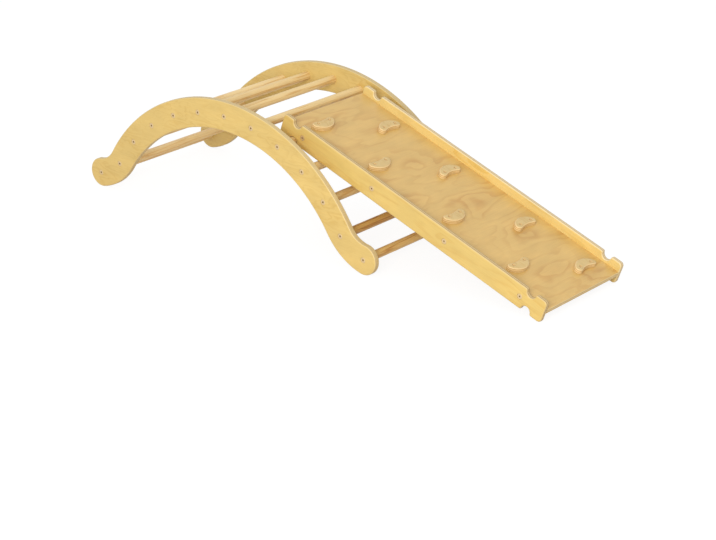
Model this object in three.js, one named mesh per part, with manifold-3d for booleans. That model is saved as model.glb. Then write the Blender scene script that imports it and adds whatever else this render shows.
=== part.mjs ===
// Children's climbing frame: a low arch of round rungs bolted between two curved
// plywood side panels, and a ramp with climbing holds that hooks over one of the rungs.
// Millimetres, +Z up. The ramp runs down towards +X and the near side panel is at -Y.
// The origin is on the floor, in the middle of the frame's length and width.
import * as THREE from "three";
import { mergeVertices } from "three/addons/utils/BufferGeometryUtils.js";
import Module from "manifold-3d";

// Arch: side panels and rungs
const frameWidth = 480; // over the outer faces of the two side panels
const panelThickness = 18;
const rungCircleRadius = 500; // circle through the centres of the arch's rungs
const rungPitchDegrees = 11.8; // between neighbouring rungs on that circle
const rungsEachSide = 5; // on the circle, each side of the top rung
const footRungReach = 81.5; // foot rung, outward from the last rung on the circle
const footRungDrop = 47; // foot rung, below the last rung on the circle
const rungDiameter = 25;
const bandHalfWidth = 43; // from the rung circle to the panel's back, and to its inner edge
const footRadius = 43; // round foot, centred on the foot rung
const waistRadius = 75; // hollow between the panel's back and its foot
const soleRadius = 200; // long curve from the foot up into the inner edge
const panelEdgeRadius = 4; // router round on the panel's edges

// Bolts through the side panels into the rungs, and through the rails into the board
const boltHeadDiameter = 15;
const boltHeadThickness = 2.5;
const boltHeadRecess = 0.3; // head below the face of the wood
const boltHeadClearance = 0.8; // counterbore wider than the head
const boltSocketAcrossFlats = 4;
const boltSocketDepth = 2;
const rungBoltDiameter = 6;
const rungBoltLength = 46; // under the head
const boardBoltDiameter = 5;
const boardBoltLength = 44;
const boreClearance = 0.8; // bore wider than its bolt
const boreTipRoom = 2; // bore deeper than the bolt's tip

// Ramp: two rails with rung notches, a board between them and the climbing holds
const rampWidth = 354; // over the outer faces of the rails
const railThickness = 15;
const railLength = 948;
const railHeight = 66;
const railEndRadius = 11; // corners at the ends of a rail
const railEdgeRadius = 4.5; // router round on the rail's edges
const notchFromEnd = 52; // centre of a rung notch, from the end of the rail
const notchDepth = 17.5;
const notchClearance = 1.5; // notch radius larger than the rung's
const notchLipRadius = 6;
const boardThickness = 15;
const boardEndInset = 0.5; // board shorter than the rails at each end
const boardEndRadius = 2.5;
const boltsPerRail = 4;
const railBoltFromEnd = 80.25;
const hookedRung = 2; // rung that carries the ramp, counted down from the top rung
const seatGap = 0.3; // between pieces that rest on each other in the sloping ramp

// Climbing holds: a bean of thick plywood with two recessed screws
const holdThickness = 13;
const holdLobeRadius = 11;
const holdLobeSpacing = 60; // between the centres of the two lobes
const holdBelly = 26; // from the line through the lobes' centres to the bulging edge
const holdEdgeRadius = 5;
const holdScrewSpacing = 46;
const holdScrewSetback = 1.5; // from the line through the lobes' centres to the screws
const holdScrewBore = 5;
const holdScrewRecess = 9; // diameter of the recess for the screw's head
const holdScrewRecessDepth = 5;
const holdEndMargin = 64.75; // room left on the ramp beyond its first and last holds
const holdRowShift = 3.75; // middle of the holds, below the middle of the ramp
// Where each hold sits: on the near side (-1) or the far side (1), how far from the middle of
// the holds (0) to their ends (-1 and 1), how far from that side's rail, and how far its hollow
// edge dips between the lobes. The near ones are hollow uphill, the far ones downhill.
const holds = [
  { side: -1, toEnd: -1, fromRail: 79, dip: 3.5 },
  { side: 1, toEnd: -0.75, fromRail: 74, dip: 5 },
  { side: -1, toEnd: -0.477, fromRail: 80, dip: 3.5 },
  { side: 1, toEnd: -0.173, fromRail: 82.5, dip: 6.5 },
  { side: -1, toEnd: 0.181, fromRail: 84.5, dip: 4 },
  { side: 1, toEnd: 0.489, fromRail: 78, dip: 5 },
  { side: -1, toEnd: 0.75, fromRail: 76.5, dip: 5 },
  { side: 1, toEnd: 1, fromRail: 76.5, dip: 7 },
];

// Facets: how far a flat facet may lie inside its true curve, and sides of round pieces
const chordError = 0.35;
const edgeRoundSteps = 2;
const rungSides = 20;
const headSides = 12;
const shankSides = 6;
const cutPast = 1; // how far a cut runs on past the face that it opens
const joinOverlap = 0.4; // how deep a bolt's shank starts inside its head

const wasm = await Module();
wasm.setup();

// Closed three.js geometry to a solid for cutting and joining, and back again.
function solidOf(geometry) {
  const bare = geometry.clone();
  bare.deleteAttribute("normal");
  bare.deleteAttribute("uv");
  const merged = mergeVertices(bare);
  return new wasm.Manifold(
    new wasm.Mesh({
      numProp: 3,
      vertProperties: merged.attributes.position.array,
      triVerts: new Uint32Array(merged.index.array),
    }),
  );
}

function geometryOf(solid) {
  const cut = solid.getMesh();
  const geometry = new THREE.BufferGeometry();
  geometry.setAttribute("position", new THREE.BufferAttribute(cut.vertProperties, 3));
  geometry.setIndex(new THREE.BufferAttribute(cut.triVerts, 1));
  geometry.computeVertexNormals();
  return geometry;
}

// Points along an arc, with as many facets as the chord error asks for.
function arc(centre, radius, from, to) {
  const facet = 2 * Math.acos(1 - chordError / radius);
  const steps = Math.max(2, Math.ceil(Math.abs(to - from) / facet));
  const points = [];
  for (let i = 0; i <= steps; i++) {
    const angle = from + ((to - from) * i) / steps;
    points.push(
      new THREE.Vector2(centre.x + radius * Math.cos(angle), centre.y + radius * Math.sin(angle)),
    );
  }
  return points;
}

// Direction from one point to another, as an angle.
function bearing(from, to) {
  return Math.atan2(to.y - from.y, to.x - from.x);
}

// The point at two given distances from two others, left of the way from a to b.
function pointAtDistances(a, fromA, b, fromB) {
  const apart = a.distanceTo(b);
  const along = (fromA ** 2 - fromB ** 2 + apart ** 2) / (2 * apart);
  const aside = Math.sqrt(fromA ** 2 - along ** 2);
  const way = b.clone().sub(a).divideScalar(apart);
  return new THREE.Vector2(
    a.x + way.x * along - way.y * aside,
    a.y + way.y * along + way.x * aside,
  );
}

// Outline without the points that two neighbouring arcs share.
function withoutRepeats(points) {
  const near = 1e-6;
  return points.filter((p, i) => p.distanceTo(points[(i + 1) % points.length]) > near);
}

// Flat plate with rounded edges: the outline lies in X and Z, and the plate runs from
// y = 0 to y = thickness.
function roundedPlate(points, thickness, edgeRadius) {
  const plate = new THREE.ExtrudeGeometry(new THREE.Shape(withoutRepeats(points)), {
    depth: thickness - 2 * edgeRadius,
    bevelThickness: edgeRadius,
    bevelSize: edgeRadius,
    bevelOffset: -edgeRadius,
    bevelSegments: edgeRoundSteps,
  });
  plate.translate(0, 0, edgeRadius - thickness);
  plate.rotateX(Math.PI / 2);
  return plate;
}

// Cylinder along Y between two values of y, moved to x and z.
function pin(diameter, fromY, toY, sides, x = 0, z = 0) {
  const cylinder = new THREE.CylinderGeometry(
    diameter / 2,
    diameter / 2,
    toY - fromY,
    sides,
  );
  cylinder.translate(x, (fromY + toY) / 2, z);
  return solidOf(cylinder);
}

// Colours and finishes
const lacqueredPlywood = new THREE.MeshStandardMaterial({ color: 0xe6be6c, roughness: 0.45 });
const railPlywood = new THREE.MeshStandardMaterial({ color: 0xecbd55, roughness: 0.45 });
const boardPlywood = new THREE.MeshStandardMaterial({ color: 0xdcb574, roughness: 0.4 });
const holdPlywood = new THREE.MeshStandardMaterial({ color: 0xe3c990, roughness: 0.5 });
const rungWood = new THREE.MeshStandardMaterial({ color: 0xdfb782, roughness: 0.5 });
const zincPlate = new THREE.MeshStandardMaterial({
  color: 0xd5c8bb,
  roughness: 0.35,
  metalness: 0.8,
});

// Places of the rungs in the arch: x along the frame, y up from the top rung's centre.
const archCentre = new THREE.Vector2(0, -rungCircleRadius);
const rungPitch = THREE.MathUtils.degToRad(rungPitchDegrees);
const rungCentres = [];
for (let i = -rungsEachSide; i <= rungsEachSide; i++) {
  rungCentres.push(
    new THREE.Vector2(
      archCentre.x + rungCircleRadius * Math.sin(i * rungPitch),
      archCentre.y + rungCircleRadius * Math.cos(i * rungPitch),
    ),
  );
}
const lastRung = rungCentres[rungCentres.length - 1];
const footRung = new THREE.Vector2(lastRung.x + footRungReach, lastRung.y - footRungDrop);
rungCentres.push(footRung);
rungCentres.unshift(new THREE.Vector2(-footRung.x, footRung.y));
const floorLevel = footRung.y - footRadius;

// Half of the side panel's outline, from the middle of its back round the foot to the
// middle of its inner edge. Each arc runs smoothly into the next.
function halfPanelOutline() {
  const backRadius = rungCircleRadius + bandHalfWidth;
  const innerRadius = rungCircleRadius - bandHalfWidth;
  const waist = pointAtDistances(
    archCentre,
    backRadius + waistRadius,
    footRung,
    footRadius + waistRadius,
  );
  const sole = pointAtDistances(
    archCentre,
    innerRadius + soleRadius,
    footRung,
    soleRadius - footRadius,
  );
  const up = Math.PI / 2;
  return [
    ...arc(archCentre, backRadius, up, bearing(archCentre, waist)),
    ...arc(waist, waistRadius, bearing(waist, archCentre), bearing(waist, footRung)),
    ...arc(footRung, footRadius, bearing(footRung, waist), bearing(sole, footRung)),
    ...arc(sole, soleRadius, bearing(sole, footRung), bearing(sole, archCentre)),
    ...arc(archCentre, innerRadius, bearing(archCentre, sole), up),
  ];
}

// Counterbore and bore for one bolt, from the outer face at y = 0 inwards.
function boltHole(boltDiameter, depth, x, z) {
  const counterbore = pin(
    boltHeadDiameter + boltHeadClearance,
    -cutPast,
    boltHeadRecess + boltHeadThickness,
    headSides,
    x,
    z,
  );
  const bore = boltDiameter + boreClearance;
  return counterbore.add(pin(bore, -cutPast, depth + cutPast, shankSides, x, z));
}

// Side panel with its outer face at y = 0 and its inner face at y = panelThickness.
function sidePanel() {
  const half = halfPanelOutline();
  const otherHalf = half.map((p) => new THREE.Vector2(-p.x, p.y)).reverse();
  let panel = solidOf(
    roundedPlate([...half, ...otherHalf], panelThickness, panelEdgeRadius),
  );
  for (const rung of rungCentres) {
    panel = panel.subtract(boltHole(rungBoltDiameter, panelThickness, rung.x, rung.y));
  }
  return geometryOf(panel);
}

// Rung with a bore for a bolt in each end.
function rung() {
  const halfLength = frameWidth / 2 - panelThickness;
  const bolted = boltHeadRecess + boltHeadThickness + rungBoltLength - panelThickness;
  const boreDepth = bolted + boreTipRoom;
  const bore = rungBoltDiameter + boreClearance;
  const dowel = pin(rungDiameter, -halfLength, halfLength, rungSides);
  return geometryOf(
    dowel
      .subtract(pin(bore, -halfLength - cutPast, boreDepth - halfLength, shankSides))
      .subtract(pin(bore, halfLength - boreDepth, halfLength + cutPast, shankSides)),
  );
}

// Flat-headed bolt that points to +Y, with the plane of the wood's face at y = 0.
function bolt(diameter, length) {
  const top = boltHeadRecess;
  const underHead = top + boltHeadThickness;
  const socketRadius = boltSocketAcrossFlats / Math.sqrt(3);
  const socket = pin(2 * socketRadius, top - cutPast, top + boltSocketDepth, 6);
  return geometryOf(
    pin(boltHeadDiameter, top, underHead, headSides)
      .add(pin(diameter, underHead - joinOverlap, underHead + length, shankSides))
      .subtract(socket),
  );
}

// Outline of a rail: rung notches near both ends of both long edges.
function railOutline() {
  const halfLength = railLength / 2;
  const halfHeight = railHeight / 2;
  const notchRadius = rungDiameter / 2 + notchClearance;
  const notch = new THREE.Vector2(
    halfLength - notchFromEnd,
    halfHeight - notchDepth + notchRadius,
  );
  // The lip's circle touches the long edge from inside and the notch from outside.
  const lipY = halfHeight - notchLipRadius;
  const lipAside = Math.sqrt((notchRadius + notchLipRadius) ** 2 - (notch.y - lipY) ** 2);
  const innerLip = new THREE.Vector2(notch.x - lipAside, lipY);
  const outerLip = new THREE.Vector2(notch.x + lipAside, lipY);
  const quarter = Math.PI / 2;
  const corner = [
    ...arc(innerLip, notchLipRadius, quarter, bearing(innerLip, notch)),
    ...arc(notch, notchRadius, bearing(notch, innerLip), bearing(notch, outerLip)),
    ...arc(outerLip, notchLipRadius, bearing(outerLip, notch), quarter),
    ...arc(
      new THREE.Vector2(halfLength - railEndRadius, halfHeight - railEndRadius),
      railEndRadius,
      quarter,
      0,
    ),
  ];
  const mirrored = (points, x, y) => points.map((p) => new THREE.Vector2(p.x * x, p.y * y));
  return [
    ...corner,
    ...mirrored(corner, 1, -1).reverse(),
    ...mirrored(corner, -1, -1),
    ...mirrored(corner, -1, 1).reverse(),
  ];
}

// Places of the bolts along a rail, from its middle.
const railBoltXs = [];
for (let i = 0; i < boltsPerRail; i++) {
  const span = railLength - 2 * railBoltFromEnd;
  railBoltXs.push(-span / 2 + (span * i) / (boltsPerRail - 1));
}

// Rail with its outer face at y = 0 and its inner face at y = railThickness.
function rail() {
  let plank = solidOf(roundedPlate(railOutline(), railThickness, railEdgeRadius));
  for (const x of railBoltXs) {
    plank = plank.subtract(boltHole(boardBoltDiameter, railThickness, x, 0));
  }
  return geometryOf(plank);
}

// Ramp board with rounded ends, bored in both edges for the rail bolts.
const boardWidth = rampWidth - 2 * railThickness;
function board() {
  const x = railLength / 2 - boardEndInset - boardEndRadius;
  const y = boardThickness / 2 - boardEndRadius;
  const quarter = Math.PI / 2;
  const outline = [
    ...arc(new THREE.Vector2(x, y), boardEndRadius, 0, quarter),
    ...arc(new THREE.Vector2(-x, y), boardEndRadius, quarter, 2 * quarter),
    ...arc(new THREE.Vector2(-x, -y), boardEndRadius, 2 * quarter, 3 * quarter),
    ...arc(new THREE.Vector2(x, -y), boardEndRadius, 3 * quarter, 4 * quarter),
  ];
  const sheet = new THREE.ExtrudeGeometry(new THREE.Shape(outline), {
    depth: boardWidth,
    bevelEnabled: false,
  });
  sheet.translate(0, 0, -boardWidth / 2);
  sheet.rotateX(Math.PI / 2);
  const bolted = boltHeadRecess + boltHeadThickness + boardBoltLength - railThickness;
  const bore = boardBoltDiameter + boreClearance;
  const inner = boardWidth / 2 - bolted - boreTipRoom;
  let bored = solidOf(sheet);
  for (const boltX of railBoltXs) {
    bored = bored
      .subtract(pin(bore, -boardWidth / 2 - cutPast, -inner, shankSides, boltX))
      .subtract(pin(bore, inner, boardWidth / 2 + cutPast, shankSides, boltX));
  }
  return geometryOf(bored);
}

// Climbing hold, lying in X and Y with its flat back at z = 0 and its hollow edge to +Y.
function hold(dip) {
  const lobeX = holdLobeSpacing / 2;
  const left = new THREE.Vector2(-lobeX, 0);
  const right = new THREE.Vector2(lobeX, 0);
  // The belly's circle touches both lobes from outside them, the hollow's from between them.
  const reach = holdBelly - holdLobeRadius;
  const belly = new THREE.Vector2(0, (lobeX ** 2 - reach ** 2) / (2 * reach));
  const hollow = new THREE.Vector2(0, (lobeX ** 2 - dip ** 2) / (2 * dip));
  const bellyRadius = belly.y + holdBelly;
  const hollowRadius = hollow.y + dip - holdLobeRadius;
  const turn = 2 * Math.PI;
  const outline = [
    ...arc(belly, bellyRadius, bearing(belly, left), bearing(belly, right)),
    ...arc(right, holdLobeRadius, bearing(belly, right), bearing(right, hollow)),
    ...arc(hollow, hollowRadius, bearing(hollow, right), bearing(hollow, left)),
    ...arc(left, holdLobeRadius, bearing(left, hollow), bearing(belly, left) + turn),
  ];
  const bean = new THREE.ExtrudeGeometry(new THREE.Shape(withoutRepeats(outline)), {
    depth: holdThickness - holdEdgeRadius,
    bevelThickness: holdEdgeRadius,
    bevelSize: holdEdgeRadius,
    bevelOffset: -holdEdgeRadius,
    bevelSegments: edgeRoundSteps,
  });
  const holdLength = holdLobeSpacing + 2 * holdLobeRadius;
  const below = new THREE.BoxGeometry(2 * holdLength, 2 * holdLength, 2 * holdEdgeRadius);
  below.translate(0, 0, -holdEdgeRadius);
  let solid = solidOf(bean).subtract(solidOf(below));
  for (const side of [-1, 1]) {
    const x = (side * holdScrewSpacing) / 2;
    const floor = holdThickness - holdScrewRecessDepth;
    const y = holdScrewSetback;
    const recess = pin(holdScrewRecess, floor, holdThickness + cutPast, shankSides, x, y);
    const bore = pin(holdScrewBore, -cutPast, holdThickness, shankSides, x, y);
    solid = solid.subtract(recess.add(bore).rotate([90, 0, 0]));
  }
  return geometryOf(solid);
}

function named(name, geometry, material, x, y, z) {
  const mesh = new THREE.Mesh(geometry, material);
  mesh.name = name;
  mesh.position.set(x, y, z);
  return mesh;
}

const twoDigits = (number) => String(number).padStart(2, "0");

// The arch, with the floor at z = 0 and its middle at x = 0.
const arch = new THREE.Group();
const panelShape = sidePanel();
const rungShape = rung();
const rungBoltShape = bolt(rungBoltDiameter, rungBoltLength);
const nearFace = -frameWidth / 2;
arch.add(named("side_panel_near", panelShape, lacqueredPlywood, 0, nearFace, -floorLevel));
const farPanel = named("side_panel_far", panelShape, lacqueredPlywood, 0, -nearFace, -floorLevel);
farPanel.rotation.z = Math.PI;
arch.add(farPanel);
rungCentres.forEach((centre, i) => {
  const number = twoDigits(i + 1);
  const z = centre.y - floorLevel;
  arch.add(named("rung_" + number, rungShape, rungWood, centre.x, 0, z));
  arch.add(named("panel_bolt_near_" + number, rungBoltShape, zincPlate, centre.x, nearFace, z));
  const far = named("panel_bolt_far_" + number, rungBoltShape, zincPlate, centre.x, -nearFace, z);
  far.rotation.z = Math.PI;
  arch.add(far);
});

// How the ramp lies: its upper notches sit on the hooked rung, and the rounded lower
// corners of its rails stand on the floor. Both places are given from the rail's middle.
const seatRung = rungCentres[rungsEachSide + 1 + hookedRung];
const notchSeat = new THREE.Vector2(
  notchFromEnd - railLength / 2,
  notchDepth - railHeight / 2 - seatGap - rungDiameter / 2,
);
const railFoot = new THREE.Vector2(
  railLength / 2 - railEndRadius,
  railEndRadius - railHeight / 2,
);
const along = railFoot.x - notchSeat.x;
const above = railFoot.y - notchSeat.y;
const fall = seatRung.y - floorLevel - railEndRadius;
const slope = Math.asin(fall / Math.hypot(along, above)) + Math.atan2(above, along);

const ramp = new THREE.Group();
ramp.position.set(seatRung.x, 0, seatRung.y - floorLevel);
ramp.rotation.y = slope;
const deck = new THREE.Group(); // its origin is in the middle of the board's thickness
deck.position.set(-notchSeat.x, 0, -notchSeat.y);
ramp.add(deck);

const railShape = rail();
const railBoltShape = bolt(boardBoltDiameter, boardBoltLength);
const railFace = -rampWidth / 2;
deck.add(named("ramp_board", board(), boardPlywood, 0, 0, 0));
deck.add(named("ramp_rail_near", railShape, railPlywood, 0, railFace, 0));
const farRail = named("ramp_rail_far", railShape, railPlywood, 0, -railFace, 0);
farRail.rotation.z = Math.PI;
deck.add(farRail);
railBoltXs.forEach((x, i) => {
  const number = String(i + 1);
  deck.add(named("rail_bolt_near_" + number, railBoltShape, zincPlate, x, railFace, 0));
  const far = named("rail_bolt_far_" + number, railBoltShape, zincPlate, x, -railFace, 0);
  far.rotation.z = Math.PI;
  deck.add(far);
});
holds.forEach(({ side, toEnd, fromRail, dip }, i) => {
  const x = holdRowShift + toEnd * (railLength / 2 - holdEndMargin);
  const y = side * (boardWidth / 2 - fromRail);
  const z = boardThickness / 2 + seatGap;
  const mesh = named("hold_" + (i + 1), hold(dip), holdPlywood, x, y, z);
  mesh.rotation.z = (-side * Math.PI) / 2;
  deck.add(mesh);
});

// The whole frame, moved so that the middle of its length is at x = 0 and it stands at z = 0.
const climbingFrame = new THREE.Group();
climbingFrame.add(arch, ramp);
climbingFrame.updateMatrixWorld(true);
const size = new THREE.Box3().setFromObject(climbingFrame, true);
for (const group of [arch, ramp]) {
  group.position.x -= (size.min.x + size.max.x) / 2;
  group.position.z -= size.min.z;
}

export default climbingFrame;
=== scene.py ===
import math

import bmesh
import bpy
from mathutils import Matrix, Vector


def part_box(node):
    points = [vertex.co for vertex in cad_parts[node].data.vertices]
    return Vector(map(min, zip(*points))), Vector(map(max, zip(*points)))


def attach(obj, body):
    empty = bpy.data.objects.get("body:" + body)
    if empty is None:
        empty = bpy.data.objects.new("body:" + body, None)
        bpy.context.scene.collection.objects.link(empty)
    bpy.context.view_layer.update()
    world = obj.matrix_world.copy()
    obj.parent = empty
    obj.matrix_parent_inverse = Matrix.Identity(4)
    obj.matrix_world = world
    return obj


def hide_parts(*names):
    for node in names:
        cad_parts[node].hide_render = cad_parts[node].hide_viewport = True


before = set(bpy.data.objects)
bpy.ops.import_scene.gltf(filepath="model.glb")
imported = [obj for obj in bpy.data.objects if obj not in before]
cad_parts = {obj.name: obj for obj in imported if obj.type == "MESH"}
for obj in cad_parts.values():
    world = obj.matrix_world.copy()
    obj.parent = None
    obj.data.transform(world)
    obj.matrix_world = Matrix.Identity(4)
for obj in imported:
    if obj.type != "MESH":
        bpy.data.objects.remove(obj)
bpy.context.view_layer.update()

# Camera. It looks at the near side from beyond the ramp's foot, from somewhat above and far off
# with a long lens. Its picture is shifted up, so that the frame stands in the upper part.
# Lengths are in metres, here and below, but the lens and its film are in millimetres.
camera_place = (3.532, -4.134, 2.1695)
camera_azimuth = math.radians(40.287)
camera_elevation = math.radians(20.724)
camera_roll = math.radians(0.532)
lens_length = 103.7
film_width = 36
picture_width = 716
picture_height = 540
lens_axis_x = 357  # pixel that the lens points at, from the picture's left
lens_axis_y = 190  # and from its top

camera = bpy.data.objects.new("camera", bpy.data.cameras.new("camera"))
bpy.context.scene.collection.objects.link(camera)
camera.location = camera_place
camera.rotation_euler = (math.pi / 2 - camera_elevation, 0, camera_azimuth)
camera.rotation_euler.rotate_axis("Z", camera_roll)
camera.data.sensor_width = film_width
camera.data.lens = lens_length
camera.data.shift_x = (picture_width / 2 - lens_axis_x) / picture_width
camera.data.shift_y = (lens_axis_y - picture_height / 2) / picture_width
bpy.context.scene.camera = camera

# Studio. A white sweep of floor under an evenly lit white room, with one broad soft lamp
# to the left of the camera. To the camera the floor is white and keeps a faint shadow, and
# the light that it gives back to the frame is a little dimmer and warmer.
room_light = 0.72
white = "#ffffff"
floor_size = 60
floor_bounce = "#d3c6ac"
floor_glow = 0.9
floor_shadow = "#6c6c6c"
lamp_place = Vector((2.3, -4.05, 2.0))
lamp_target = Vector((0, 0, 0.15))
lamp_width = 2.0
lamp_watts = 140
lamp_colour = "#fffcf6"


def linear(hex_colour):
    """Linear red, green and blue, and alpha, of an sRGB hex colour."""
    channels = [int(hex_colour[i:i + 2], 16) / 255 for i in (1, 3, 5)]
    return tuple(
        c / 12.92 if c <= 0.04045 else ((c + 0.055) / 1.055) ** 2.4 for c in channels
    ) + (1.0,)


def add(tree, kind, inputs, **settings):
    """Adds a node to a tree. An input is a plain value, the output that feeds it, or a node
    whose first output feeds it."""
    node = tree.nodes.new(kind)
    for name, value in settings.items():
        setattr(node, name, value)
    for socket, value in inputs.items():
        if isinstance(value, bpy.types.Node):
            value = value.outputs[0]
        if isinstance(value, bpy.types.NodeSocket):
            tree.links.new(value, node.inputs[socket])
        else:
            node.inputs[socket].default_value = value
    return node


def new_material(name):
    """A material without nodes yet, and its tree."""
    material = bpy.data.materials.new(name)
    material.use_nodes = True
    material.node_tree.nodes.clear()
    return material, material.node_tree


def in_view(tree):
    """Gives 1 to the camera's own rays, also by way of a shine or of glass, and 0 to the rays
    that light the frame."""
    ray = add(tree, "ShaderNodeLightPath", {})
    direct = add(
        tree,
        "ShaderNodeMath",
        {0: ray.outputs["Is Camera Ray"], 1: ray.outputs["Is Glossy Ray"]},
        operation="MAXIMUM",
    )
    return add(
        tree,
        "ShaderNodeMath",
        {0: direct, 1: ray.outputs["Is Transmission Ray"]},
        operation="MAXIMUM",
    )


bpy.context.scene.view_settings.view_transform = "Standard"
world = bpy.data.worlds.new("white_room")
world.use_nodes = True
bpy.context.scene.world = world
room = world.node_tree
room.nodes.clear()
strength = add(
    room, "ShaderNodeMapRange", {"Value": in_view(room), "To Min": room_light, "To Max": 1.0}
)
glow = add(room, "ShaderNodeBackground", {"Color": linear(white), "Strength": strength})
add(room, "ShaderNodeOutputWorld", {"Surface": glow})

bpy.ops.object.select_all(action="DESELECT")
bpy.ops.mesh.primitive_plane_add(size=floor_size)
floor = bpy.context.object
floor.name = "floor"

# Matt white paint, rolled on: a white with no gloss and no edge, which takes a soft shadow.
floor_paint, paint = new_material("matt_white_paint")
bounce = add(paint, "ShaderNodeBsdfDiffuse", {"Color": linear(floor_bounce)})
glowing = add(paint, "ShaderNodeEmission", {"Color": linear(white), "Strength": floor_glow})
shadowed = add(paint, "ShaderNodeBsdfDiffuse", {"Color": linear(floor_shadow)})
lit_white = add(paint, "ShaderNodeAddShader", {0: glowing, 1: shadowed})
either = add(paint, "ShaderNodeMixShader", {0: in_view(paint), 1: bounce, 2: lit_white})
add(paint, "ShaderNodeOutputMaterial", {"Surface": either})
floor.data.materials.append(floor_paint)

lamp = bpy.data.objects.new("soft_lamp", bpy.data.lights.new("soft_lamp", "AREA"))
bpy.context.scene.collection.objects.link(lamp)
lamp.location = lamp_place
lamp.rotation_euler = (lamp_target - lamp_place).to_track_quat("-Z", "Y").to_euler()
lamp.data.shape = "SQUARE"
lamp.data.size = lamp_width
lamp.data.energy = lamp_watts
lamp.data.color = linear(lamp_colour)[:3]

# Side panels. Two identical panels of 18 mm birch plywood carry the rungs between them: a
# curved back and two rounded feet, cut on a router with all rims rounded over and lacquered.
# Each is bored and counterbored from outside for the bolts that hold the rungs.
rung_count = 13
rung_circle_radius = 0.5
band_half_width = 0.043
foot_radius = 0.043
waist_radius = 0.075
sole_radius = 0.2
panel_rim_radius = 0.004
panel_plies = 9
veneer_least = 0.0004  # the sanded outer veneer ends between these depths
veneer_most = 0.0011
head_diameter = 0.015
head_thickness = 0.0025
head_recess = 0.0003
head_clearance = 0.0008
bore_clearance = 0.0008
rung_bolt_diameter = 0.006
seed_size = 0.01  # of the plane that is merged into a wire's first point
curve_error = 0.00002
least_facets = 4
rim_steps = 5
round_sides = 48
merge_distance = 0.00002
cut_past = 0.001
facing = 0.9  # a face looks along an axis when its normal is at least this much along it
sharp_angle = math.radians(35)
upwards = math.pi / 2


def middle(node):
    low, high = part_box(node)
    return (low + high) / 2


def point(x, y):
    return Vector((x, y))


def bearing(a, b):
    return math.atan2(b.y - a.y, b.x - a.x)


def arc_centre(a, from_a, b, from_b):
    """The point at two given distances from a and b, left of the way from a to b."""
    way = b - a
    along = (from_a ** 2 - from_b ** 2 + way.length_squared) / (2 * way.length)
    aside = math.sqrt(from_a ** 2 - along ** 2)
    way.normalize()
    return a + way * along + point(-way.y, way.x) * aside


def pick(obj):
    """Selects one object alone and makes it the active one."""
    bpy.ops.object.select_all(action="DESELECT")
    obj.select_set(True)
    bpy.context.view_layer.objects.active = obj


def draw_wire(name, start, strokes):
    """Draws a wire in X and Z from a start. A stroke turns the last point about a centre, by
    less than half a turn, up to a bearing from it, or goes straight to a point."""
    bpy.ops.object.select_all(action="DESELECT")
    bpy.ops.mesh.primitive_plane_add(size=seed_size)
    wire = bpy.context.object
    wire.name = name
    bpy.ops.object.mode_set(mode="EDIT")
    bpy.ops.mesh.select_mode(type="VERT")
    bpy.ops.mesh.select_all(action="SELECT")
    bpy.ops.mesh.merge(type="CENTER")
    bpy.ops.transform.translate(value=(start.x, 0, start.y))
    last = start
    for centre, stop in strokes:
        if stop is None:
            step = (centre.x - last.x, 0, centre.y - last.y)
            bpy.ops.mesh.extrude_region_move(TRANSFORM_OT_translate={"value": step})
            last = centre
            continue
        radius = (last - centre).length
        turn = stop - bearing(centre, last)
        turn = (turn + math.pi) % (2 * math.pi) - math.pi
        facet = 2 * math.acos(1 - curve_error / radius)
        bpy.ops.mesh.spin(
            steps=max(least_facets, math.ceil(abs(turn) / facet)),
            angle=turn,
            center=(centre.x, 0, centre.y),
            axis=(0, 1, 0),
        )
        last = centre + point(math.cos(stop), math.sin(stop)) * radius
    bpy.ops.object.mode_set(mode="OBJECT")
    return wire


def cylinder(radius, start, length, x=0, z=0, sides=round_sides):
    """Adds a cylinder that runs along +Y from a start."""
    bpy.ops.object.select_all(action="DESELECT")
    bpy.ops.mesh.primitive_cylinder_add(
        vertices=sides,
        radius=radius,
        depth=length,
        location=(x, start + length / 2, z),
        rotation=(-math.pi / 2, 0, 0),
    )
    bpy.ops.object.transform_apply(location=True, rotation=True)
    return bpy.context.object


def finish_modifier(obj, kind, **settings):
    """Adds a modifier with its settings and applies it."""
    modifier = obj.modifiers.new(kind.lower(), kind)
    for name, value in settings.items():
        setattr(modifier, name, value)
    pick(obj)
    bpy.ops.object.modifier_apply(modifier=modifier.name)


def select_flat(obj, way, sides=0):
    """Selects the flat faces that look along Y in the given direction, or only those with a
    given number of sides."""
    bpy.ops.mesh.select_mode(type="FACE")
    bpy.ops.mesh.select_all(action="DESELECT")
    mesh = bmesh.from_edit_mesh(obj.data)
    for face in mesh.faces:
        right_sides = len(face.verts) == sides or not sides
        face.select_set(face.normal.y * way > facing and right_sides)
    bmesh.update_edit_mesh(obj.data)


def extrude(distance):
    """Extrudes what is selected along Y."""
    bpy.ops.mesh.extrude_region_move(TRANSFORM_OT_translate={"value": (0, distance, 0)})


def make_plate(obj, thickness, front_rim, back_rim):
    """Fills a closed wire in X and Z, gives it its thickness along +Y, and rounds the rims of
    its front and its back by insetting them in small steps."""
    pick(obj)
    bpy.ops.object.mode_set(mode="EDIT")
    bpy.ops.mesh.select_mode(type="VERT")
    bpy.ops.mesh.select_all(action="SELECT")
    bpy.ops.mesh.remove_doubles(threshold=merge_distance)
    bpy.ops.mesh.edge_face_add()
    bpy.ops.transform.translate(value=(0, front_rim, 0))
    extrude(thickness - front_rim - back_rim)
    bpy.ops.mesh.select_all(action="SELECT")
    bpy.ops.mesh.normals_make_consistent(inside=False)
    angles = [math.pi / 2 * step / rim_steps for step in range(rim_steps + 1)]
    for way, rim in ((-1, front_rim), (1, back_rim)):
        if rim == 0:
            continue
        select_flat(obj, way)
        for start, stop in zip(angles, angles[1:]):
            bpy.ops.mesh.inset(
                thickness=rim * (math.cos(start) - math.cos(stop)),
                depth=rim * (math.sin(stop) - math.sin(start)),
            )
    bpy.ops.object.mode_set(mode="OBJECT")


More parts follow.
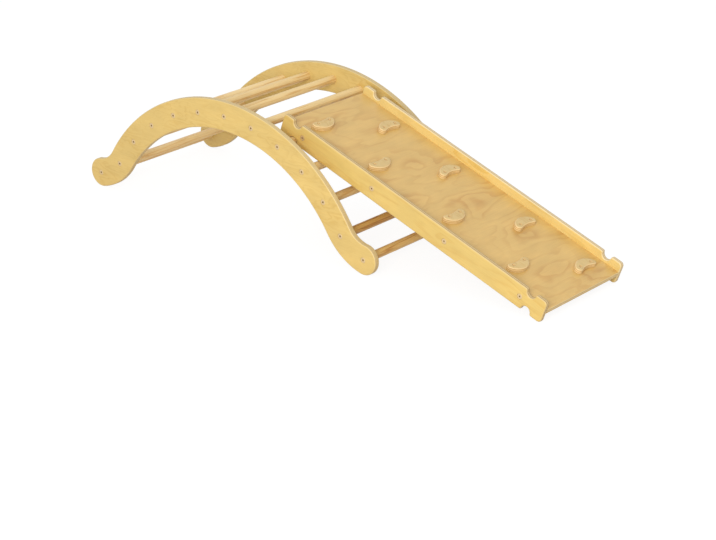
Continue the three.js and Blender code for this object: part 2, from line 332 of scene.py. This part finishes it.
def join(pieces):
    """Joins several objects into the first of them."""
    pick(pieces[0])
    for piece in pieces[1:]:
        piece.select_set(True)
    bpy.ops.object.join()
    return pieces[0]


def bolt_drill(bore, depth, places):
    """A stepped drill at each place: a counterbore from y = 0, then the bore on to the depth."""
    counterbore = head_diameter + head_clearance
    bottom = head_recess + head_thickness
    drills = []
    for x, z in places:
        drill = cylinder(counterbore / 2, -cut_past, bottom + cut_past, x, z)
        bpy.ops.object.mode_set(mode="EDIT")
        select_flat(drill, 1)
        bpy.ops.mesh.inset(thickness=(counterbore - bore) / 2)
        extrude(depth + cut_past - bottom)
        bpy.ops.object.mode_set(mode="OBJECT")
        drills.append(drill)
    return join(drills)


def cut_with(obj, tool):
    finish_modifier(obj, "BOOLEAN", operation="DIFFERENCE", object=tool, solver="MANIFOLD")
    bpy.data.objects.remove(tool)


def smooth(obj):
    """Smooth shading that stays flat on the flat faces."""
    pick(obj)
    bpy.ops.object.shade_smooth_by_angle(angle=sharp_angle)
    finish_modifier(obj, "WEIGHTED_NORMAL", keep_sharp=True, weight=100)


def dress(obj, material):
    """Gives a piece one material all over."""
    obj.data.materials.clear()
    obj.data.materials.append(material)
    for face in obj.data.polygons:
        face.material_index = 0


def copy_of(obj, name):
    pick(obj)
    bpy.ops.object.duplicate()
    twin = bpy.context.object
    twin.name = name
    return twin


def turned_at(x, y, z, turn):
    """The place of a piece that is turned about the vertical and then moved."""
    return Matrix.Translation((x, y, z)) @ Matrix.Rotation(turn, 4, "Z")


def put(obj, matrix):
    """Moves a finished mesh to its place and leaves its object at the origin."""
    obj.matrix_world = matrix
    pick(obj)
    bpy.ops.object.transform_apply(location=True, rotation=True, scale=True)


def per_metre(*millimetres):
    """The scale of a pattern, along each axis, from the real size of its marks there."""
    return tuple(1000 / size for size in millimetres)


def plywood(name, face, figure, edge_light, edge_dark, thickness, plies, centre, at, turned,
            figure_length, figure_width, figure_lines):
    """Birch plywood under a satin lacquer. The sheet lies in the X and Y of its own turned
    coordinates, with its grain along X. To the eye its faces have the faint flame figure of
    peeled birch, and a cut rim shows its plies, light along the grain and darker across it.
    The sizes of the figure are in millimetres."""
    material, tree = new_material(name)
    where = add(tree, "ShaderNodeTexCoord", {})
    sheet = add(
        tree,
        "ShaderNodeMapping",
        {"Vector": where.outputs["Object"], "Location": at, "Rotation": turned},
        vector_type="TEXTURE",
    )
    # Depth below the nearer face of a sheet whose middle lies at the given distance from the
    # origin's plane, on either side of it, so that one material can serve two like sheets.
    axes = add(tree, "ShaderNodeSeparateXYZ", {0: sheet})
    height = add(tree, "ShaderNodeMath", {0: axes.outputs["Z"]}, operation="ABSOLUTE")
    from_middle = add(tree, "ShaderNodeMath", {0: height, 1: centre}, operation="SUBTRACT")
    distance = add(tree, "ShaderNodeMath", {0: from_middle}, operation="ABSOLUTE")
    depth = add(tree, "ShaderNodeMath", {0: thickness / 2, 1: distance}, operation="SUBTRACT")

    # The wood's own unevenness, with the size of each mark along the grain, across it and
    # through the sheet. Birch fibres are finer than drawn here: they are as coarse as they need
    # to be to show, and so is the mottle of a cut rim.
    marks = {}
    for mark, sizes, detail, roughness, distortion in (
        ("figure", (figure_length, figure_width, 500), 3, 0.4, 0.4),
        ("patches", (200, 111, 200), 2, 0.5, 0),
        ("fibres", (83.3, 1.43, 1.43), 2, 0.6, 0),
        ("clouds", (111, 45.5, 111), 4, 0.55, 0),
        ("mottle", (6.25, 6.25, 1.11), 2, 0.6, 0),
    ):
        spaced = add(tree, "ShaderNodeMapping", {"Vector": sheet, "Scale": per_metre(*sizes)})
        noise = add(
            tree,
            "ShaderNodeTexNoise",
            {"Vector": spaced, "Scale": 1, "Detail": detail, "Roughness": roughness,
             "Distortion": distortion},
        )
        marks[mark] = noise.outputs["Fac"]

    # Outer veneer: the contours of a slow noise are its yearly rings. A ring darkens slowly up
    # to its sharp late edge, and some patches of the veneer are darker as a whole.
    contours = add(
        tree, "ShaderNodeMath", {0: marks["figure"], 1: figure_lines}, operation="MULTIPLY"
    )
    ring = add(tree, "ShaderNodeMath", {0: contours}, operation="FRACT")
    darkening = add(
        tree,
        "ShaderNodeMapRange",
        {"Value": ring, "From Min": 0.4, "From Max": 0.9},
        interpolation_type="SMOOTHSTEP",
    )
    late_edge = add(
        tree,
        "ShaderNodeMapRange",
        {"Value": ring, "From Min": 1.0, "From Max": 0.9},
        interpolation_type="SMOOTHSTEP",
    )
    lines = add(tree, "ShaderNodeMath", {0: darkening, 1: late_edge}, operation="MINIMUM")
    line_strength = add(
        tree,
        "ShaderNodeMapRange",
        {"Value": marks["patches"], "From Min": 0.35, "From Max": 0.65,
         "To Min": 0.1, "To Max": 0.75},
    )
    dark_patch = add(
        tree,
        "ShaderNodeMapRange",
        {"Value": marks["patches"], "From Min": 0.45, "From Max": 0.7, "To Max": 0.3},
        interpolation_type="SMOOTHSTEP",
    )
    flame = add(
        tree,
        "ShaderNodeMath",
        {0: lines, 1: line_strength, 2: dark_patch},
        operation="MULTIPLY_ADD",
    )
    figured = add(
        tree,
        "ShaderNodeMix",
        {"Factor": flame, 6: linear(face), 7: linear(figure)},
        data_type="RGBA",
    )
    # Broad clouds and fine fibres make it lighter and darker.
    cloudy = add(
        tree,
        "ShaderNodeMapRange",
        {"Value": marks["clouds"], "From Min": 0.3, "From Max": 0.7,
         "To Min": 0.93, "To Max": 1.06},
    )
    fibrous = add(
        tree,
        "ShaderNodeMapRange",
        {"Value": marks["fibres"], "From Min": 0.3, "From Max": 0.7,
         "To Min": 0.96, "To Max": 1.04},
    )
    light_and_dark = add(tree, "ShaderNodeMath", {0: cloudy, 1: fibrous}, operation="MULTIPLY")
    veneer = add(
        tree,
        "ShaderNodeVectorMath",
        {0: figured.outputs[2], "Scale": light_and_dark},
        operation="SCALE",
    )

    # Cut rims: the plies, alternately long grain and end grain, with an uneven border.
    in_plies = add(
        tree,
        "ShaderNodeMath",
        {0: depth, 1: plies / thickness, 2: -0.5},
        operation="MULTIPLY_ADD",
    )
    ply = add(tree, "ShaderNodeMath", {0: in_plies, 1: 1.0}, operation="PINGPONG")
    uneven = add(
        tree,
        "ShaderNodeMapRange",
        {"Value": marks["mottle"], "From Min": 0.3, "From Max": 0.7,
         "To Min": -0.16, "To Max": 0.16},
    )
    ply_tone = add(tree, "ShaderNodeMath", {0: ply, 1: uneven}, operation="ADD")
    layers = add(
        tree,
        "ShaderNodeMapRange",
        {"Value": ply_tone, "From Min": 0.48, "From Max": 0.74},
        interpolation_type="SMOOTHSTEP",
    )
    edge = add(
        tree,
        "ShaderNodeMix",
        {"Factor": layers, 6: linear(edge_light), 7: linear(edge_dark)},
        data_type="RGBA",
    )
    below_veneer = add(
        tree,
        "ShaderNodeMapRange",
        {"Value": depth, "From Min": veneer_least, "From Max": veneer_most},
        interpolation_type="SMOOTHSTEP",
    )
    colour = add(
        tree,
        "ShaderNodeMix",
        {"Factor": below_veneer, 6: veneer, 7: edge.outputs[2]},
        data_type="RGBA",
    )

    # The lacquer is satin on the faces and soaks into the rims, which stay duller.
    dull = add(
        tree, "ShaderNodeMapRange", {"Value": below_veneer, "To Min": 0.42, "To Max": 0.62}
    )
    relief = add(
        tree, "ShaderNodeMath", {0: marks["fibres"], 1: marks["mottle"]}, operation="ADD"
    )
    bump = add(
        tree, "ShaderNodeBump", {"Height": relief, "Strength": 0.25, "Distance": 0.00015}
    )
    shader = add(
        tree,
        "ShaderNodeBsdfPrincipled",
        {"Base Color": colour.outputs[2], "Roughness": dull, "IOR": 1.5, "Coat Weight": 0.12,
         "Coat Roughness": 0.3, "Normal": bump},
    )
    add(tree, "ShaderNodeOutputMaterial", {"Surface": shader})
    return material


rung_names = [f"rung_{number:02d}" for number in range(1, rung_count + 1)]
rung_places = [point(middle(name).x, middle(name).z) for name in rung_names]
top_rung = rung_places[rung_count // 2]
foot_rung = rung_places[-1] - point(top_rung.x, 0)
arch_centre = point(0, top_rung.y - rung_circle_radius)
back_radius = rung_circle_radius + band_half_width
inner_radius = rung_circle_radius - band_half_width
waist = arc_centre(
    arch_centre, back_radius + waist_radius, foot_rung, foot_radius + waist_radius
)
sole = arc_centre(
    arch_centre, inner_radius + sole_radius, foot_rung, sole_radius - foot_radius
)
panel = draw_wire(
    "side_panel",
    point(0, arch_centre.y + back_radius),
    [
        (arch_centre, bearing(arch_centre, waist)),
        (waist, bearing(waist, foot_rung)),
        (foot_rung, 0),
        (foot_rung, bearing(sole, foot_rung)),
        (sole, bearing(sole, arch_centre)),
        (arch_centre, upwards),
    ],
)
finish_modifier(panel, "MIRROR", use_axis=(True, False, False), merge_threshold=merge_distance)
outer_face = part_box("side_panel_near")[0].y
panel_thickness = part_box("side_panel_near")[1].y - outer_face
make_plate(panel, panel_thickness, panel_rim_radius, panel_rim_radius)
panel_bolt_places = [(place.x - top_rung.x, place.y) for place in rung_places]
cut_with(
    panel, bolt_drill(rung_bolt_diameter + bore_clearance, panel_thickness, panel_bolt_places)
)
smooth(panel)
dress(
    panel,
    plywood(
        "lacquered_birch_plywood_panel",
        face="#ddc077", figure="#d2b164", edge_light="#dcc690", edge_dark="#c4a876",
        thickness=panel_thickness, plies=panel_plies,
        centre=-outer_face - panel_thickness / 2, at=(0, 0, 0), turned=(math.pi / 2, 0, 0),
        figure_length=110, figure_width=35, figure_lines=9,
    ),
)
far_panel = copy_of(panel, "side_panel_far_wood")
panel.name = "side_panel_near_wood"
for side, piece, y, turn in (
    ("near", panel, outer_face, 0),
    ("far", far_panel, -outer_face, math.pi),
):
    put(piece, turned_at(top_rung.x, y, 0, turn))
    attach(piece, "arch")
    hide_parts("side_panel_" + side)

# Rungs. Thirteen turned rods of solid pine, 25 mm thick, sanded and lacquered. Their ends
# butt against the panels, with the sharp rim taken off, and are bored for the bolts. Their
# tones are painted light and shade: the first five, at the foot away from the ramp, are painted
# lighter as if lit more, and the last two, under the ramp, darker as its shade.
rung_sides = 64
rung_rim = 0.0006
rung_rim_steps = 2
rung_bore_depth = 0.0335
half_rings = 9  # from light to dark or back, over the whole range of the rings' slow noise


def round_rims(obj, faces_where, radius, steps):
    """Rounds the sharp edges between the faces that a test picks and their neighbours."""
    bpy.ops.object.mode_set(mode="EDIT")
    bpy.ops.mesh.select_all(action="DESELECT")
    bpy.ops.mesh.select_mode(type="EDGE")
    mesh = bmesh.from_edit_mesh(obj.data)
    for edge in mesh.edges:
        picked = [faces_where(face) for face in edge.link_faces]
        edge.select_set(True in picked and False in picked)
    bmesh.update_edit_mesh(obj.data)
    bpy.ops.mesh.bevel(
        offset=radius, offset_type="OFFSET", segments=steps, profile=0.5, clamp_overlap=False
    )
    bpy.ops.object.mode_set(mode="OBJECT")


def rod_wood(name, early_wood, late_wood):
    """Pine under a satin lacquer. Its yearly rings are cut lengthwise, so that to the eye each
    rod has its own stripes along Y, with fine fibres between them."""
    material, tree = new_material(name)
    where = add(tree, "ShaderNodeTexCoord", {})

    # Sizes in millimetres across the rod, along it and across it again. The rings are the
    # contours of a slow noise, and the fibres are coarser than pine's, so that they show.
    marks = {}
    for mark, sizes, detail, roughness in (
        ("rings", (16.67, 455, 16.67), 3, 0.5),
        ("fibres", (1.11, 71.4, 1.11), 2, 0.6),
    ):
        spaced = add(
            tree,
            "ShaderNodeMapping",
            {"Vector": where.outputs["Object"], "Scale": per_metre(*sizes)},
        )
        noise = add(
            tree,
            "ShaderNodeTexNoise",
            {"Vector": spaced, "Scale": 1, "Detail": detail, "Roughness": roughness},
        )
        marks[mark] = noise.outputs["Fac"]
    contours = add(
        tree, "ShaderNodeMath", {0: marks["rings"], 1: half_rings}, operation="MULTIPLY"
    )
    ring = add(tree, "ShaderNodeMath", {0: contours, 1: 1.0}, operation="PINGPONG")
    late = add(
        tree,
        "ShaderNodeMapRange",
        {"Value": ring, "From Min": 0.5, "From Max": 1.0},
        interpolation_type="SMOOTHSTEP",
    )
    ringed = add(
        tree,
        "ShaderNodeMix",
        {"Factor": late, 6: linear(early_wood), 7: linear(late_wood)},
        data_type="RGBA",
    )
    fibrous = add(
        tree,
        "ShaderNodeMapRange",
        {"Value": marks["fibres"], "From Min": 0.3, "From Max": 0.7,
         "To Min": 0.9, "To Max": 1.07},
    )
    colour = add(
        tree,
        "ShaderNodeVectorMath",
        {0: ringed.outputs[2], "Scale": fibrous},
        operation="SCALE",
    )
    bump = add(
        tree,
        "ShaderNodeBump",
        {"Height": marks["fibres"], "Strength": 0.3, "Distance": 0.0002},
    )
    shader = add(
        tree,
        "ShaderNodeBsdfPrincipled",
        {"Base Color": colour, "Roughness": 0.5, "IOR": 1.5, "Coat Weight": 0.1,
         "Coat Roughness": 0.35, "Normal": bump},
    )
    add(tree, "ShaderNodeOutputMaterial", {"Surface": shader})
    return material


first_low, first_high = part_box(rung_names[0])
rung_length = first_high.y - first_low.y
rung_radius = (first_high.z - first_low.z) / 2
rod = cylinder(rung_radius, -rung_length / 2, rung_length, sides=rung_sides)
round_rims(rod, lambda face: abs(face.normal.y) > facing, rung_rim, rung_rim_steps)
bpy.ops.object.mode_set(mode="EDIT")
rung_bore = rung_bolt_diameter + bore_clearance
for way in (-1, 1):
    select_flat(rod, way, rung_sides)
    bpy.ops.mesh.inset(thickness=rung_radius - rung_rim - rung_bore / 2)
    extrude(-way * rung_bore_depth)
bpy.ops.object.mode_set(mode="OBJECT")
smooth(rod)
# Lighter and darker copies of one pine, as painted light and painted shade.
pine_painted_lit = rod_wood("lacquered_pine_painted_light", "#fbdfa6", "#ecc585")
plain_pine = rod_wood("lacquered_pine_plain", "#eed094", "#d8ad69")
pine_painted_shade = rod_wood("lacquered_pine_painted_shade", "#ecc67c", "#c99450")
pine_painted_deep_shade = rod_wood("lacquered_pine_painted_deep_shade", "#d9ad62", "#b37c3a")
# From the first rung, at the foot away from the ramp, to the last, under the ramp. The first
# five get painted light, and the last two painted shade.
rung_woods_and_painted_light = 5 * [pine_painted_lit] + 6 * [plain_pine] + [pine_painted_deep_shade, pine_painted_shade]
for name, place, wood in zip(rung_names, rung_places, rung_woods_and_painted_light):
    piece = copy_of(rod, name + "_wood")
    dress(piece, wood)
    put(piece, Matrix.Translation((place.x, 0, place.y)))
    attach(piece, "arch")
    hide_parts(name)
bpy.data.objects.remove(rod)

# Panel bolts. A flat round steel head with a hexagon socket lies just below the panel's face,
# and its shank runs into the rung. It is turned from steel and zinc plated.
head_rim = 0.0004
head_rim_steps = 3
socket_across = 0.004
socket_depth = 0.002
# The socket's walls and floor, and a ring round its mouth, are painted dark as shade.
painted_shade_slack = 0.0005  # past the socket's floor, so that the floor is darkened too
rung_bolt_length = 0.046
# radius of the ring of painted shade round a rung bolt's socket
rung_bolt_painted_shade_mouth = 0.0031
tip_chamfer = 0.001
plating_grain = 0.556  # marks in the metals, in millimetres
# size of the uneven mottle in the painted socket shade, in millimetres
shade_speck = 1.11

# Zinc plated steel: a soft, warm shine. The grain of the plating is drawn half a millimetre
# wide, coarser than it is, so that it shows in how the heads catch the light.
zinc, tree = new_material("zinc_plated_steel")
where = add(tree, "ShaderNodeTexCoord", {})
grain = add(
    tree,
    "ShaderNodeTexNoise",
    {"Vector": where.outputs["Object"], "Scale": 1000 / plating_grain, "Detail": 2},
)
shine = add(
    tree,
    "ShaderNodeMapRange",
    {"Value": grain.outputs["Fac"], "To Min": 0.28, "To Max": 0.5},
)
tone = add(
    tree,
    "ShaderNodeMix",
    {"Factor": grain.outputs["Fac"], 6: linear("#d6bb8e"), 7: linear("#e4caa0")},
    data_type="RGBA",
)
shader = add(
    tree,
    "ShaderNodeBsdfPrincipled",
    {"Base Color": tone.outputs[2], "Metallic": 0.5, "Roughness": shine},
)
add(tree, "ShaderNodeOutputMaterial", {"Surface": shader})

# Painted shade in and around a socket: a dull, dark, unevenly brown steel on the socket's
# walls and floor and on a ring round its mouth, painted as the shade that falls in there.
painted_socket_shade, tree = new_material("painted_shade_in_socket")
where = add(tree, "ShaderNodeTexCoord", {})
shade_mottle = add(
    tree,
    "ShaderNodeTexNoise",
    {"Vector": where.outputs["Object"], "Scale": 1000 / shade_speck, "Detail": 2},
)
tone = add(
    tree,
    "ShaderNodeMix",
    {"Factor": shade_mottle.outputs["Fac"], 6: linear("#826a42"), 7: linear("#a28656")},
    data_type="RGBA",
)
shader = add(
    tree, "ShaderNodeBsdfPrincipled", {"Base Color": tone.outputs[2], "Roughness": 0.8}
)
add(tree, "ShaderNodeOutputMaterial", {"Surface": shader})


def narrow(share):
    """Narrows what is selected towards the Y axis, to a share of its width."""
    bpy.ops.transform.resize(value=(share, 1, share), center_override=(0, 0, 0))


def socket_bolt(diameter, length, painted_shade_mouth):
    """A bolt that points to +Y, with the plane of the wood's face at y = 0. A ring in its head
    marks off the socket's mouth, which gets painted shade, dark like its walls and floor."""
    bolt = cylinder(head_diameter / 2, head_recess, head_thickness)
    round_rims(bolt, lambda face: face.normal.y < -facing, head_rim, head_rim_steps)
    bpy.ops.object.mode_set(mode="EDIT")
    select_flat(bolt, -1, round_sides)
    bpy.ops.mesh.inset(thickness=head_diameter / 2 - head_rim - painted_shade_mouth)
    select_flat(bolt, 1)
    bpy.ops.mesh.inset(thickness=(head_diameter - diameter) / 2)
    extrude(length - tip_chamfer)
    extrude(tip_chamfer)
    narrow(1 - 2 * tip_chamfer / diameter)
    bpy.ops.object.mode_set(mode="OBJECT")
    hexagon = cylinder(
        socket_across / math.sqrt(3), head_recess - cut_past, socket_depth + cut_past, sides=6
    )
    cut_with(bolt, hexagon)
    smooth(bolt)
    dress(bolt, zinc)
    bolt.data.materials.append(painted_socket_shade)
    # Faces in the socket and in the ring round its mouth take the painted shade.
    for face in bolt.data.polygons:
        in_painted_shade = math.hypot(face.center.x, face.center.z) < painted_shade_mouth
        if in_painted_shade and face.center.y < head_recess + socket_depth + painted_shade_slack:
            face.material_index = 1
    return bolt


rung_bolt = socket_bolt(rung_bolt_diameter, rung_bolt_length, rung_bolt_painted_shade_mouth)
for number, place in enumerate(rung_places, 1):
    for side, y, turn in (("near", outer_face, 0), ("far", -outer_face, math.pi)):
        name = f"panel_bolt_{side}_{number:02d}"
        piece = copy_of(rung_bolt, name + "_steel")
        put(piece, turned_at(place.x, y, place.y, turn))
        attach(piece, "arch")
        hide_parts(name)
bpy.data.objects.remove(rung_bolt)

# Ramp rails. Two planks of 15 mm birch plywood on edge, with a round rung notch near each
# end of both long edges, so that either face of the ramp can lie upwards. The rims are
# rounded over, and four bolts go through each rail into the edge of the board.
rail_thickness = 0.015
rail_length = 0.948
rail_height = 0.066
rail_end_radius = 0.011
rail_rim_radius = 0.0045
rail_plies = 5
notch_from_end = 0.052
notch_depth = 0.0175
notch_clearance = 0.0015  # notch radius larger than the rung's
notch_lip_radius = 0.006
bolts_per_rail = 4
board_bolt_diameter = 0.005
# The far rail is painted lighter than the near one, as painted light on its inner face.
rail_colours_with_painted_light = {
    "near": {
        "face": "#dfc275", "figure": "#d5b161", "edge_light": "#d8bf88", "edge_dark": "#a98a60"
    },
    "far": {
        "face": "#e5ca83", "figure": "#dcba69", "edge_light": "#e8d3a4", "edge_dark": "#c0a47a"
    },
}

first_bolt = middle("rail_bolt_near_1")
last_bolt = middle(f"rail_bolt_near_{bolts_per_rail}")
ramp_slope = math.atan2(first_bolt.z - last_bolt.z, last_bolt.x - first_bolt.x)
ramp_middle = (first_bolt + last_bolt) / 2
ramp_middle.y = 0
on_ramp = Matrix.Translation(ramp_middle) @ Matrix.Rotation(ramp_slope, 4, "Y")
bolt_span = (last_bolt - first_bolt).length
rail_bolt_places = [
    bolt_span * (i / (bolts_per_rail - 1) - 0.5) for i in range(bolts_per_rail)
]
rail_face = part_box("ramp_rail_near")[0].y

half_length = rail_length / 2
half_height = rail_height / 2
notch_radius = rung_radius + notch_clearance
notch = point(half_length - notch_from_end, half_height - notch_depth + notch_radius)
lip_height = half_height - notch_lip_radius
lip_aside = math.sqrt((notch_radius + notch_lip_radius) ** 2 - (notch.y - lip_height) ** 2)
inner_lip = point(notch.x - lip_aside, lip_height)
outer_lip = point(notch.x + lip_aside, lip_height)
corner = point(half_length - rail_end_radius, half_height - rail_end_radius)
near_rail = draw_wire(
    "ramp_rail_near_wood",
    point(0, half_height),
    [
        (point(inner_lip.x, half_height), None),
        (inner_lip, bearing(inner_lip, notch)),
        (notch, bearing(notch, outer_lip)),
        (outer_lip, upwards),
        (point(corner.x, half_height), None),
        (corner, 0),
        (point(half_length, 0), None),
    ],
)
finish_modifier(
    near_rail, "MIRROR", use_axis=(True, False, True), merge_threshold=merge_distance
)
make_plate(near_rail, rail_thickness, rail_rim_radius, rail_rim_radius)
rail_drill = bolt_drill(
    board_bolt_diameter + bore_clearance, rail_thickness, [(x, 0) for x in rail_bolt_places]
)
cut_with(near_rail, rail_drill)
smooth(near_rail)
far_rail = copy_of(near_rail, "ramp_rail_far_wood")
for side, piece, y, turn in (
    ("near", near_rail, rail_face, 0),
    ("far", far_rail, -rail_face, math.pi),
):
    rail_plywood = plywood(
        f"lacquered_birch_plywood_{side}_rail",
        **rail_colours_with_painted_light[side],
        thickness=rail_thickness, plies=rail_plies, centre=-rail_face - rail_thickness / 2,
        at=ramp_middle, turned=(math.pi / 2, ramp_slope, 0),
        figure_length=200, figure_width=40, figure_lines=5,
    )
    dress(piece, rail_plywood)
    put(piece, on_ramp @ turned_at(0, y, 0, turn))
    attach(piece, "ramp")
    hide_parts("ramp_rail_" + side)

# Rail bolts. The same flat-headed socket bolts of zinc plated steel, a size slimmer: they go
# through the rails and hold them to the board's edges.
board_bolt_length = 0.044
board_bolt_painted_shade_mouth = 0.0025
rail_bolt = socket_bolt(board_bolt_diameter, board_bolt_length, board_bolt_painted_shade_mouth)
for number, x in enumerate(rail_bolt_places, 1):
    for side, y, turn in (("near", rail_face, 0), ("far", -rail_face, math.pi)):
        name = f"rail_bolt_{side}_{number}"
        piece = copy_of(rail_bolt, name + "_steel")
        put(piece, on_ramp @ turned_at(x, y, 0, turn))
        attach(piece, "ramp")
        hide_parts(name)
bpy.data.objects.remove(rail_bolt)

# Ramp board. One sheet of 15 mm birch plywood between the rails, with its two ends rounded
# over and its grain across it. One face is left smooth as a slide, and the other carries the
# climbing holds.
board_thickness = 0.015
board_end_inset = 0.0005
board_end_radius = 0.0025
board_plies = 5
board_bore_depth = 0.034
board_length = rail_length - 2 * board_end_inset
board_width = 2 * (-rail_face - rail_thickness)

bpy.ops.object.select_all(action="DESELECT")
bpy.ops.mesh.primitive_cube_add(size=1)
board = bpy.context.object
board.name = "ramp_board_wood"
board.scale = (board_length, board_width, board_thickness)
bpy.ops.object.transform_apply(scale=True)
round_rims(board, lambda face: abs(face.normal.x) > facing, board_end_radius, rim_steps)
board_bore = board_bolt_diameter + bore_clearance
bore_starts = (-board_width / 2 - cut_past, board_width / 2 - board_bore_depth)
bores = [
    cylinder(board_bore / 2, start, board_bore_depth + cut_past, x)
    for x in rail_bolt_places
    for start in bore_starts
]
cut_with(board, join(bores))
smooth(board)
dress(
    board,
    plywood(
        "lacquered_birch_plywood_board",
        face="#dbb66d", figure="#cb9e57", edge_light="#e9d3a0", edge_dark="#c9a870",
        thickness=board_thickness, plies=board_plies, centre=0.0,
        at=ramp_middle, turned=(on_ramp @ Matrix.Rotation(math.pi / 2, 4, "Z")).to_euler(),
        figure_length=260, figure_width=110, figure_lines=10,
    ),
)
put(board, on_ramp)
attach(board, "ramp")
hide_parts("ramp_board")

# Climbing holds. Eight beans of thick birch plywood, flat at the back and rounded over in
# front, so that the plies show as rings. Each sits on two screws in round recesses.
hold_thickness = 0.013
hold_lobe_radius = 0.011
hold_lobe_spacing = 0.06
hold_belly = 0.026  # from the line through the lobes' centres to the bulging edge
hold_rim_radius = 0.005
hold_plies = 5
hold_gap = 0.0003  # between a hold's back and the board
hold_screw_spacing = 0.046
hold_screw_setback = 0.0015  # from the line through the lobes' centres to the screws
screw_bore = 0.005
screw_recess = 0.009
screw_recess_depth = 0.005
# How deep the hollow edge dips between the lobes, which differs from hold to hold.
hold_dips = (0.0035, 0.005, 0.0035, 0.0065, 0.004, 0.005, 0.005, 0.007)


def bean(name, dip):
    """A hold in X and Z, with its front at y = 0 and its hollow edge to +Z. That edge dips
    by the given depth below the tops of the lobes."""
    lobe = hold_lobe_spacing / 2
    right = point(lobe, 0)
    reach = hold_belly - hold_lobe_radius
    belly = point(0, (lobe ** 2 - reach ** 2) / (2 * reach))
    hollow = point(0, (lobe ** 2 - dip ** 2) / (2 * dip))
    hold = draw_wire(
        name,
        point(0, -hold_belly),
        [
            (belly, bearing(belly, right)),
            (right, upwards),
            (right, bearing(right, hollow)),
            (hollow, -upwards),
        ],
    )
    finish_modifier(
        hold, "MIRROR", use_axis=(True, False, False), merge_threshold=merge_distance
    )
    make_plate(hold, hold_thickness, hold_rim_radius, 0)
    for x in (-hold_screw_spacing / 2, hold_screw_spacing / 2):
        for diameter, depth in (
            (screw_recess, screw_recess_depth),
            (screw_bore, hold_thickness + cut_past),
        ):
            drill = cylinder(
                diameter / 2, -cut_past, depth + cut_past, x, -hold_screw_setback
            )
            cut_with(hold, drill)
    smooth(hold)
    return hold


hold_seat = board_thickness / 2 + hold_gap
hold_plywood = plywood(
    "lacquered_birch_plywood_hold",
    face="#d9bc7e", figure="#ceac6a", edge_light="#e8ca96", edge_dark="#c7a468",
    thickness=hold_thickness, plies=hold_plies, centre=hold_seat + hold_thickness / 2,
    at=ramp_middle, turned=(0, ramp_slope, 0),
    figure_length=60, figure_width=30, figure_lines=6,
)
to_ramp = on_ramp.inverted()
hold_matrices = []
for number, dip in enumerate(hold_dips, 1):
    name = f"hold_{number}"
    lies_at = to_ramp @ middle(name)
    turn = math.pi / 2 if lies_at.y < 0 else -math.pi / 2
    laid = Matrix.Rotation(turn, 4, "Z") @ Matrix.Rotation(-math.pi / 2, 4, "X")
    piece = bean(name + "_wood", dip)
    dress(piece, hold_plywood)
    # The middle of the node's box isn't the middle of the screw line, so the bean's own box
    # is brought to it.
    corners = [laid @ vertex.co for vertex in piece.data.vertices]
    centre_x = (min(c.x for c in corners) + max(c.x for c in corners)) / 2
    centre_y = (min(c.y for c in corners) + max(c.y for c in corners)) / 2
    seat = Matrix.Translation(
        (lies_at.x - centre_x, lies_at.y - centre_y, hold_seat + hold_thickness)
    )
    hold_matrices.append(on_ramp @ seat @ laid)
    put(piece, hold_matrices[-1])
    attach(piece, "ramp")
    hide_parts(name)

# Hold screws. Two countersunk steel screws with a cross recess hold each bean, sunk well
# below its face, their points in the board.
screw_head_diameter = 0.008
screw_head_thickness = 0.0022
screw_head_depth = 0.0025
screw_diameter = 0.004
screw_shank_length = 0.012
screw_point_length = 0.004
screw_tip_diameter = 0.0004
cross_width = 0.0009
cross_length = 0.0044
cross_depth = 0.0014

screw = cylinder(screw_head_diameter / 2, screw_head_depth, screw_head_thickness)
bpy.ops.object.mode_set(mode="EDIT")
select_flat(screw, 1)
narrow(screw_diameter / screw_head_diameter)
extrude(screw_shank_length)
extrude(screw_point_length)
narrow(screw_tip_diameter / screw_diameter)
bpy.ops.object.mode_set(mode="OBJECT")
for width, length in ((cross_width, cross_length), (cross_length, cross_width)):
    bpy.ops.object.select_all(action="DESELECT")
    bpy.ops.mesh.primitive_cube_add(size=1, location=(0, screw_head_depth, 0))
    blade = bpy.context.object
    blade.scale = (width, 2 * cross_depth, length)
    bpy.ops.object.transform_apply(location=True, scale=True)
    cut_with(screw, blade)
smooth(screw)
dress(screw, zinc)
for number, matrix in enumerate(hold_matrices, 1):
    for letter, side in (("a", -1), ("b", 1)):
        piece = copy_of(screw, f"hold_{number}_screw_{letter}")
        lies_at = (side * hold_screw_spacing / 2, 0, -hold_screw_setback)
        put(piece, matrix @ Matrix.Translation(lies_at))
        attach(piece, "ramp")
bpy.data.objects.remove(screw)
